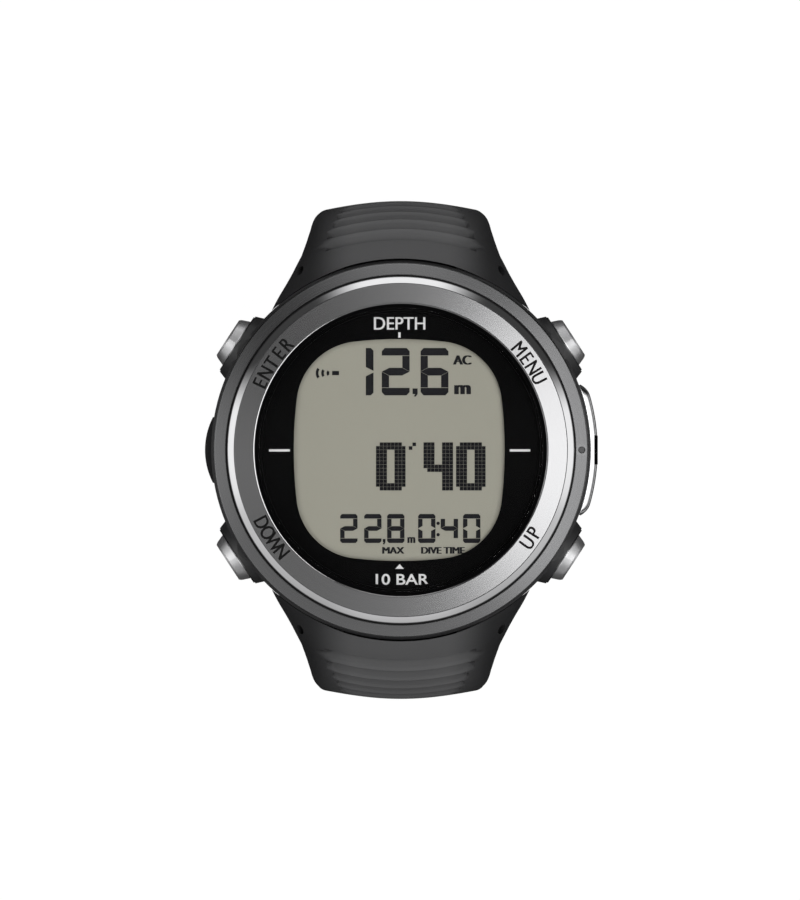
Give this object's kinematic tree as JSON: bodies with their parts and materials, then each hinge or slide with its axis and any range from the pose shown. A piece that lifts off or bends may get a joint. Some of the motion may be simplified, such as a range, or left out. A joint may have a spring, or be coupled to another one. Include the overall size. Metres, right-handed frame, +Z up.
{
  "type": "wrist dive computer",
  "caption": "Wrist dive computer: round case, steel bezel, grey display, four push buttons, data port and a fluted two-piece strap with buckle, unbuckled.",
  "frame": {"origin": "on the table under the case axis, at the strap's underside", "axes": "+Z up out of the display, +Y towards 12 o'clock, +X towards 3 o'clock"},
  "size_m": [0.0501, 0.0638, 0.0639],
  "materials": {
    "case_black": "satin black moulded housing",
    "bumper_black": "smooth black moulding",
    "ring_satin": "dark satin steel",
    "steel_brushed": "fine circular brushing",
    "steel_polished": "polished steel",
    "button_steel": "satin turned steel",
    "rubber_black": "matt black seal rubber",
    "strap_rubber": "dark grey matt elastomer",
    "crystal_glass": "clear flat crystal",
    "dial_black": "flat black printed mask",
    "lcd_grey": "grey-green reflective display",
    "backlight_white": "diffusing white film",
    "frame_white": "white moulded frame",
    "board_green": "green solder mask",
    "chip_black": "black moulded packages",
    "contact_gold": "gold-plated spring metal",
    "battery_steel": "nickel-plated can"
  },
  "bodies": {
    "case": {"case_body": "case_black", "case_ring": "ring_satin", "ring_key_pin": "steel_polished", "bezel": "steel_brushed", "bezel_gasket": "rubber_black", "crystal": "crystal_glass", "crystal_gasket": "rubber_black", "dial_mask": "dial_black", "lcd_panel": "lcd_grey", "lcd_backlight": "backlight_white", "zebra_strips": "rubber_black", "module_frame": "frame_white", "circuit_board": "board_green", "board_chips": "chip_black", "switch_contacts": "contact_gold", "battery": "battery_steel", "battery_contact": "contact_gold", "buzzer": "contact_gold", "pressure_sensor": "steel_polished", "sensor_seal": "rubber_black", "port_plate": "steel_polished", "port_insulator": "case_black", "port_contacts": "contact_gold", "side_bumper": "bumper_black", "case_back": "steel_brushed", "case_back_seal": "rubber_black", "case_back_screws": "steel_polished", "button_collars": "ring_satin", "button_seals": "rubber_black", "strap_pin_12": "steel_polished", "strap_pin_6": "steel_polished", "menu_button_spring": "steel_polished", "enter_button_spring": "steel_polished", "down_button_spring": "steel_polished", "up_button_spring": "steel_polished"},
    "hatch": {"battery_cover": "case_black", "battery_cover_seal": "rubber_black"},
    "tail": {"tail_strap": "strap_rubber"},
    "buckle_half": {"buckle_strap": "strap_rubber", "fixed_keeper": "strap_rubber", "buckle_pin": "steel_polished"},
    "keeper": {"free_keeper": "strap_rubber"},
    "buckle": {"buckle_frame": "steel_brushed"},
    "tongue": {"buckle_tongue": "steel_brushed"},
    "menu_button": {"menu_button_cap": "button_steel", "menu_button_stem": "steel_polished", "menu_button_clip": "steel_polished"},
    "enter_button": {"enter_button_cap": "button_steel", "enter_button_stem": "steel_polished", "enter_button_clip": "steel_polished"},
    "down_button": {"down_button_cap": "button_steel", "down_button_stem": "steel_polished", "down_button_clip": "steel_polished"},
    "up_button": {"up_button_cap": "button_steel", "up_button_stem": "steel_polished", "up_button_clip": "steel_polished"}
  },
  "joints": [
    {"name": "menu_button_press", "type": "slide", "parent": "case", "child": "menu_button", "axis": [-0.8387, -0.5446, 0], "range_m": [0, 0.0009], "stiffness_N_per_m": 900, "springref_m": -0.001, "deforming": ["menu_button_spring"]},
    {"name": "enter_button_press", "type": "slide", "parent": "case", "child": "enter_button", "axis": [0.8387, -0.5446, 0], "range_m": [0, 0.0009], "stiffness_N_per_m": 900, "springref_m": -0.001, "deforming": ["enter_button_spring"]},
    {"name": "down_button_press", "type": "slide", "parent": "case", "child": "down_button", "axis": [0.8387, 0.5446, 0], "range_m": [0, 0.0009], "stiffness_N_per_m": 900, "springref_m": -0.001, "deforming": ["down_button_spring"]},
    {"name": "up_button_press", "type": "slide", "parent": "case", "child": "up_button", "axis": [-0.8387, 0.5446, 0], "range_m": [0, 0.0009], "stiffness_N_per_m": 900, "springref_m": -0.001, "deforming": ["up_button_spring"]},
    {"name": "battery_cover_turn", "type": "hinge", "parent": "case", "child": "hatch", "pos_m": [0, 0, 0.048], "axis": [0, 0, 1], "range_deg": [0, 45]},
    {"name": "tail_strap_hinge", "type": "hinge", "parent": "case", "child": "tail", "pos_m": [0, -0.0229, 0.052], "axis": [1, 0, 0], "range_deg": [0, 8]},
    {"name": "buckle_strap_hinge", "type": "hinge", "parent": "case", "child": "buckle_half", "pos_m": [0, 0.0229, 0.052], "axis": [-1, 0, 0], "range_deg": [0, 12]},
    {"name": "buckle_frame_pivot", "type": "hinge", "parent": "buckle_half", "child": "buckle", "pos_m": [0, 0.00208, 0.0145], "axis": [-1, 0, 0], "range_deg": [-45, 60]},
    {"name": "buckle_tongue_pivot", "type": "hinge", "parent": "buckle", "child": "tongue", "pos_m": [0, 0.00208, 0.0145], "axis": [1, 0, 0], "range_deg": [0, 40]},
    {"name": "free_keeper_slide", "type": "slide", "parent": "buckle_half", "child": "keeper", "axis": [0, 1, 0], "range_m": [0, 0.0025]}
  ]
}
